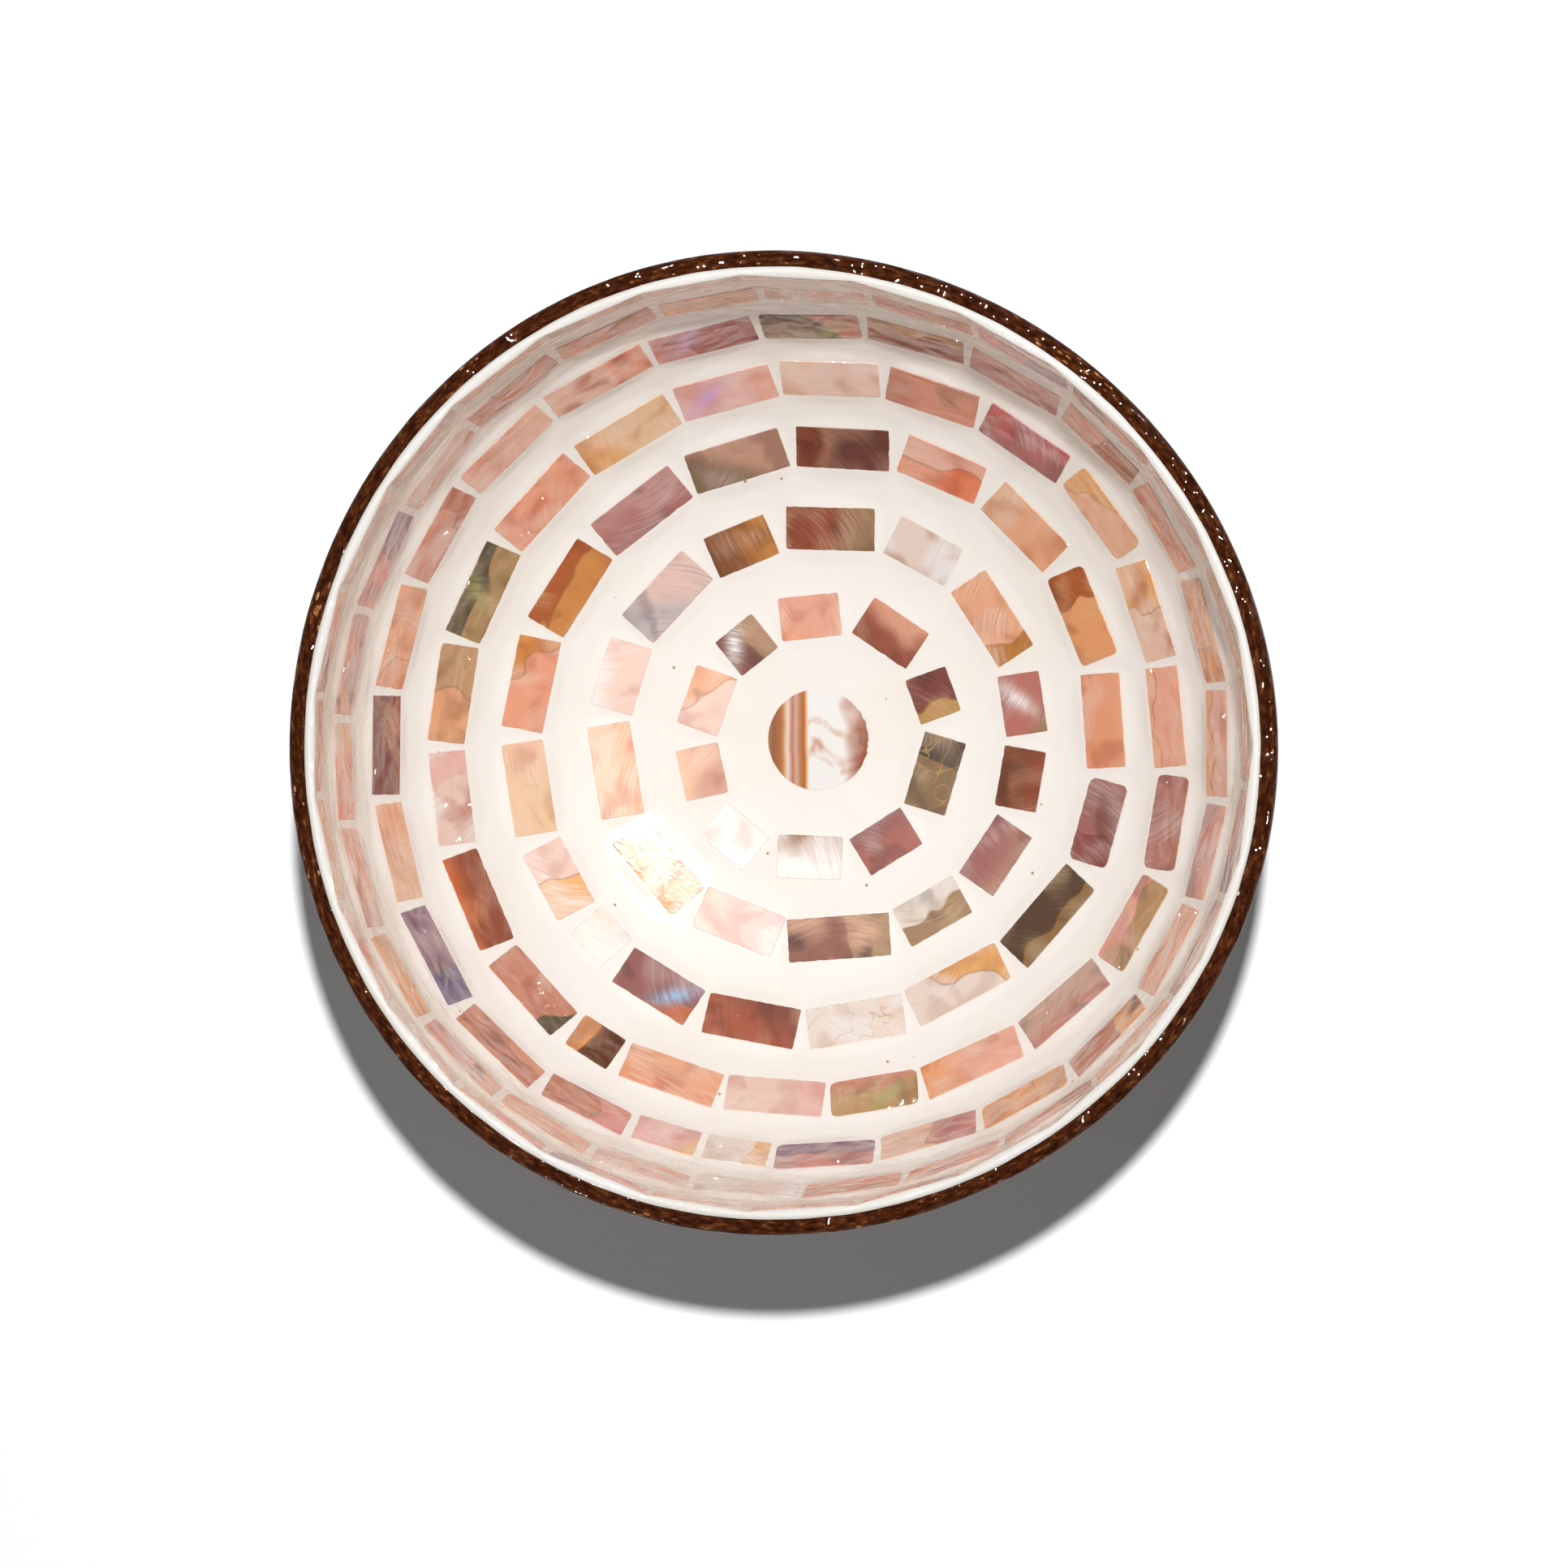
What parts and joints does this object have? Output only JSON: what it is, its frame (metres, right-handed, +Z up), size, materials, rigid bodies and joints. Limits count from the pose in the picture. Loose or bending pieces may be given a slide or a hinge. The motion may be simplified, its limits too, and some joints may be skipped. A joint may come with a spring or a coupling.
{
  "type": "bowl",
  "caption": "Round bowl made of half a coconut shell, lined with ivory filler and rings of flat mother-of-pearl tiles round a centre disc.",
  "frame": {"origin": "middle of the flat foot, on the plane that the bowl rests on", "axes": "+Z up out of the open mouth, +X along the long way of the slightly oval rim, to the right as seen from above with +Y away"},
  "size_m": [0.1357, 0.1342, 0.055],
  "materials": {
    "coconut_shell": "polished and oiled coconut shell",
    "ivory_filler": "sanded filler under clear gloss lacquer",
    "pearl_nacre": "flat cut white mother-of-pearl under clear gloss lacquer",
    "pink_nacre": "flat cut pink mother-of-pearl under clear gloss lacquer",
    "salmon_nacre": "flat cut salmon mother-of-pearl under clear gloss lacquer",
    "amber_nacre": "flat cut amber mother-of-pearl under clear gloss lacquer",
    "brown_nacre": "flat cut red-brown mother-of-pearl under clear gloss lacquer",
    "mauve_nacre": "flat cut mauve mother-of-pearl under clear gloss lacquer",
    "green_nacre": "flat cut olive green mother-of-pearl under clear gloss lacquer"
  },
  "bodies": {
    "root": {"coconut_shell": "coconut_shell", "grout_lining": "ivory_filler", "centre_disc": "pearl_nacre", "row_1_pearl_tiles": "pearl_nacre", "row_1_pink_tiles": "pink_nacre", "row_1_salmon_tiles": "salmon_nacre", "row_1_brown_tiles": "brown_nacre", "row_1_mauve_tiles": "mauve_nacre", "row_1_green_tiles": "green_nacre", "row_2_pearl_tiles": "pearl_nacre", "row_2_pink_tiles": "pink_nacre", "row_2_salmon_tiles": "salmon_nacre", "row_2_brown_tiles": "brown_nacre", "row_2_mauve_tiles": "mauve_nacre", "row_2_green_tiles": "green_nacre", "row_3_pearl_tiles": "pearl_nacre", "row_3_salmon_tiles": "salmon_nacre", "row_3_amber_tiles": "amber_nacre", "row_3_brown_tiles": "brown_nacre", "row_3_mauve_tiles": "mauve_nacre", "row_3_green_tiles": "green_nacre", "row_4_pink_tiles": "pink_nacre", "row_4_salmon_tiles": "salmon_nacre", "row_4_amber_tiles": "amber_nacre", "row_4_brown_tiles": "brown_nacre", "row_4_mauve_tiles": "mauve_nacre", "row_4_green_tiles": "green_nacre", "row_5_pearl_tiles": "pearl_nacre", "row_5_pink_tiles": "pink_nacre", "row_5_salmon_tiles": "salmon_nacre", "row_5_amber_tiles": "amber_nacre", "row_5_brown_tiles": "brown_nacre", "row_5_mauve_tiles": "mauve_nacre", "row_5_green_tiles": "green_nacre", "row_6_pearl_tiles": "pearl_nacre", "row_6_pink_tiles": "pink_nacre", "row_6_salmon_tiles": "salmon_nacre", "row_6_amber_tiles": "amber_nacre", "row_6_brown_tiles": "brown_nacre", "row_6_mauve_tiles": "mauve_nacre", "row_7_pearl_tiles": "pearl_nacre", "row_7_pink_tiles": "pink_nacre", "row_7_salmon_tiles": "salmon_nacre", "row_7_brown_tiles": "brown_nacre", "row_7_mauve_tiles": "mauve_nacre"}
  },
  "joints": []
}
